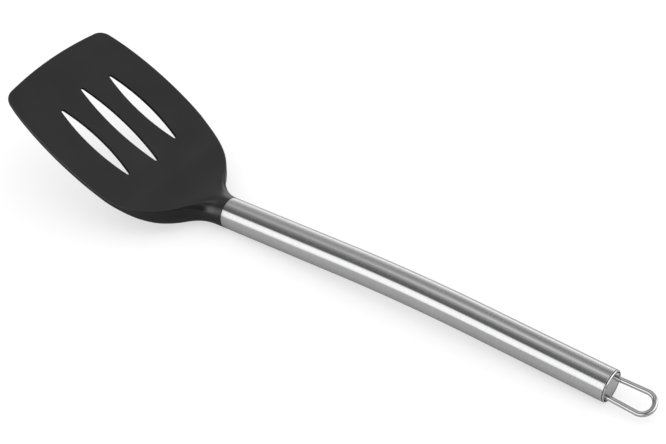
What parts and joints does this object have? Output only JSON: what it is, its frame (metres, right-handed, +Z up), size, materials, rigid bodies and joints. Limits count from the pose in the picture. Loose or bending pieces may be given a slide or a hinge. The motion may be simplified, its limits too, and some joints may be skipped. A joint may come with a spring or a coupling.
{
  "type": "slotted spatula",
  "caption": "Slotted spatula: a black nylon blade with long slots on a gently bent steel tube handle, with an end cap and a wire hanging loop.",
  "frame": {"origin": "centre of the spatula's bounding box, on the table that it lies on", "axes": "+X from the blade to the hanging loop, +Y across the blade, +Z up from the table"},
  "size_m": [0.3736, 0.0882, 0.0607],
  "materials": {
    "black_nylon": "fine matt moulded nylon",
    "satin_steel": "satin, brushed around the tube",
    "cap_steel": "polished rim, satin end face",
    "wire_steel": "polished stainless wire"
  },
  "bodies": {
    "root": {"blade_head": "black_nylon", "handle_tube": "satin_steel", "end_cap": "cap_steel", "hanging_loop": "wire_steel"}
  },
  "joints": []
}
